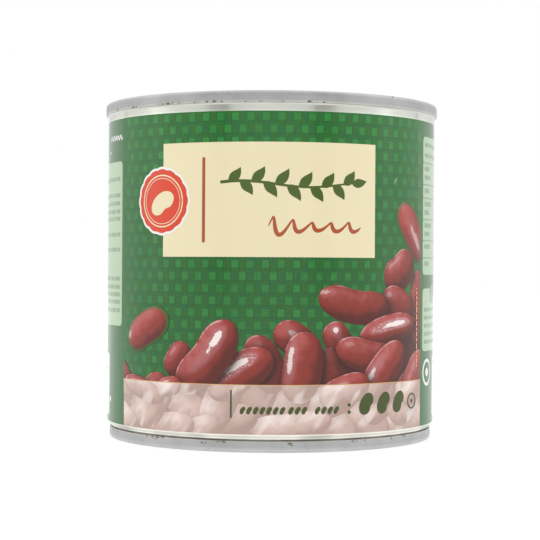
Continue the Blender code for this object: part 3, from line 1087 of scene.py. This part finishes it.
mint_ink = ink("mint_ink", MINT, 0.02)
small_ink = ink("small_print_ink", SMALL_PRINT, 0.04)
mints = [panel(*sides, PANEL_CORNER) for sides in (LEFT_PANEL, RIGHT_PANEL, LOW_PANEL)]
lay_on_wall("side_panels", mints, SIDE_LIFT, mint_ink)
small_print = rows_of_bars(-76.5, -45.7, LEFT_ROWS, 1.0, 3, from_right=True)
small_print += rows_of_bars(ROWS_LEFT, ROWS_RIGHT, TOP_ROWS, 0.95, 4)
small_print += rows_of_bars(ROWS_LEFT, ROWS_RIGHT, LOW_ROWS, 0.9, 5)
small_print.append(round_bar(*TAB))
for low, high in zip(TABLE_LINES[1:], TABLE_LINES):
    small_print.append(panel(PANEL_LEFT, PANEL_RIGHT, high - TABLE_LINE_HALF, high + TABLE_LINE_HALF))
    for up in np.arange(high - 2.0, low + 0.5, -TABLE_ROW_STEP):
        end = ROWS_LEFT + 4.8 + 1.2 * math.sin(up * 7)
        start = TABLE_COLUMN + 1.5 * math.sin(up * 5)
        small_print += [panel(*sides, up, up + TABLE_ROW) for sides in ((ROWS_LEFT, end), (start, TABLE_END))]
lay_on_wall("side_small_print", small_print, SMALL_LIFT, small_ink)
whites = [panel(*sides, WHITE_CORNER) for sides in WHITE_PANELS]
whites += [ring(MARK_ACROSS, MARK_UP, MARK_RADIUS, MARK_WIDE), disc(MARK_ACROSS, MARK_UP, MARK_MIDDLE, 32)]
whites += [round_bar(*SMALL_BAR), disc(*SMALL_DOT, 24)]
share = np.linspace(0, 1, 120)
wave = WAVE_UP + WAVE_HIGH * np.sin(2 * math.pi * WAVES * share)
wave = as_columns(WAVE_LEFT + WAVE_LONG * share, wave)
whites.append(ribbon(wave, pen(len(share), WAVE_WIDE)))
lay_on_wall("side_whites", whites, WHITE_LIFT, white_ink)
white_print = rows_of_bars(-75.5, -56.0, WHITE_ROWS, 0.6, 8) + rows_of_bars(58.0, 82.0, WHITE_ROWS, 0.6, 9)
lay_on_wall("side_white_print", white_print, OVER_WHITE_LIFT, small_ink)


# Rust, dirt and painted shade: a thin brown line in the crevice above the lower seam, painted shade all
# round it with rust where it thickens, and pale stains and dark specks on both seams, (across, up, size),
# where the tin was bruised by the seaming rolls.
GRIME = (0.070, 0.060, 0.048)
STAIN = (0.33, 0.315, 0.275)
CREVICE_RUST_AND_SHADE = (0.070, 0.052, 0.038)
RUSTY_PLACES = (-53, -30, -13, 4.5, 22, 33, 40, 54)
STAIN_LIFT, SPECK_LIFT = 0.008, 0.020
CREVICE_DEPTH = 0.14
TOP_SPECKS = (
    (-58.6, 81.6, 0.6), (-46.4, 81.7, 0.35), (-38, 81.6, 0.42), (-36.6, 81.7, 0.25),
    (-27.2, 81.65, 0.25), (-25.7, 81.6, 0.48), (-24.4, 81.75, 0.25), (-18.5, 81.6, 0.22),
    (-15.2, 81.65, 0.34), (-13.4, 81.65, 0.42), (-11.6, 81.6, 0.3), (-6, 81.55, 0.2), (2.6, 81.55, 0.2),
    (8.7, 81.62, 0.42), (12.2, 81.6, 0.28), (31.4, 83.95, 0.28), (58.6, 81.6, 0.6),
)
TOP_STAINS = (
    (-46.2, 81.75, 0.5), (-37.4, 81.6, 0.7), (-28.2, 81.6, 0.5), (-25.8, 81.7, 0.9), (-22.6, 81.6, 0.5),
    (-17.8, 81.6, 0.6), (-13.4, 81.7, 0.9), (-2.5, 81.55, 0.6), (8.9, 81.62, 0.7), (29.5, 81.55, 0.4),
)
BOTTOM_SPECKS = (
    (-53, 2.2, 0.35), (-33.4, 2.45, 0.3), (-31.5, 2.5, 0.35), (-29.6, 2.5, 0.42), (-28, 2.55, 0.35),
    (-16.6, 2.0, 0.28), (-15.6, 1.95, 0.25), (-11, 2.4, 0.4), (-12.4, 2.45, 0.25), (4.8, 2.2, 0.42),
    (5.2, 1.8, 0.28), (20.6, 2.3, 0.3), (24.2, 2.4, 0.25), (33, 2.3, 0.3), (38.2, 2.4, 0.3),
)
BOTTOM_STAINS = (
    (-49, 2.3, 0.7), (-30.5, 2.4, 1.0), (-16.5, 2.0, 0.6), (-11.4, 2.35, 0.6), (4.8, 2.2, 0.7),
    (21.4, 2.35, 0.7), (38, 2.45, 0.5),
)


def seam_face(section, lift):
    """How far a point lift off the seam's outer face stands off the wall, at each height."""
    face = section[section[:, 0] > section[:, 0].max() - 0.3]
    face = face[np.argsort(face[:, 1])]
    return lambda up: np.interp(up, face[:, 1], face[:, 0]) - WALL_RADIUS + lift


def dull_dirt_and_shade(name, color, contrast=2.0):
    """Dull dirt, and painted shade in the crevice: one colour, mottled up to contrast times as pale."""
    material, tree = new_material(name)
    mottle = noise(add_node(tree, "TexCoord", output="Object"), 2500.0, 2.0)
    pale = tuple(contrast * c for c in color) + (1.0,)
    set_finish(tree, {"Base Color": mixed(mottle, color + (1.0,), pale), "Roughness": 0.85})
    return material


def specks(places, draw, low, high):
    """Ragged spots, wider than high, kept between two heights: the radius wanders as a sum of three waves."""
    angle = np.arange(28) * 2 * math.pi / 28
    spots = []
    for across, up, size in places:
        waves = draw.uniform(0, 2 * math.pi, 3)
        ragged = size * (1 + 0.16 * sum(np.sin(n * angle + w) for n, w in zip((2, 3, 5), waves)))
        points, faces = disc(across, up, ragged, 28, squash=0.5)
        spots.append((points.clip((-GIRTH, low), (GIRTH, high)), faces))
    return spots


speck_dirt, stain_dirt = dull_dirt_and_shade("seam_grime", GRIME), dull_dirt_and_shade("seam_stain", STAIN, 1.25)
draw = np.random.default_rng(21)
behind = tuple((u, 81.6, s) for u, s in zip(draw.uniform(70, 195, 16), draw.uniform(0.15, 0.4, 16)))
beneath = tuple((u, 2.3, s) for u, s in zip(draw.uniform(62, 200, 14), draw.uniform(0.15, 0.4, 14)))
TOP_STAINS += tuple((across, up + 0.1, 2.2 * size) for across, up, size in behind[::3])
BOTTOM_STAINS += tuple((across, up - 0.1, 2.2 * size) for across, up, size in beneath[::3])
for seam, section, low, high, stains, dots in (
    ("top", top_section, TOP_SEAM_FOOT + 0.06, CAN_HEIGHT - 0.12, TOP_STAINS, TOP_SPECKS + behind),
    ("bottom", bottom_section, 0.12, BOTTOM_SEAM_TOP - 0.06, BOTTOM_STAINS, BOTTOM_SPECKS + beneath),
):
    stains, dots = specks(stains, draw, low, high), specks(dots, draw, low, high)
    lay_on_wall(f"{seam}_seam_stains", stains, seam_face(section, STAIN_LIFT), stain_dirt)
    lay_on_wall(f"{seam}_seam_specks", dots, seam_face(section, SPECK_LIFT), speck_dirt)
# The crevice line: painted shade all round the crevice above the lower seam, thickened with rust at the rusty
# places.
across = np.linspace(-GIRTH / 2, GIRTH / 2, 701)
thick = 0.035 + 0.015 * np.sin(across * 0.31) + 0.015 * np.sin(across * 1.7 + 1)
for place in RUSTY_PLACES:
    thick += 0.09 * np.exp(-((across - place) / 2.4) ** 2)
rows = BOTTOM_SEAM_TOP + np.array([0.0, 1.0])[:, None] * thick
crevice = sheet_of(as_columns(across, rows))
crevice_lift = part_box("bottom_end")[1].x / MM - WALL_RADIUS - CREVICE_DEPTH
lay_on_wall("crevice_rust_and_shade", [crevice], crevice_lift, dull_dirt_and_shade("seam_rust_and_shade", CREVICE_RUST_AND_SHADE))
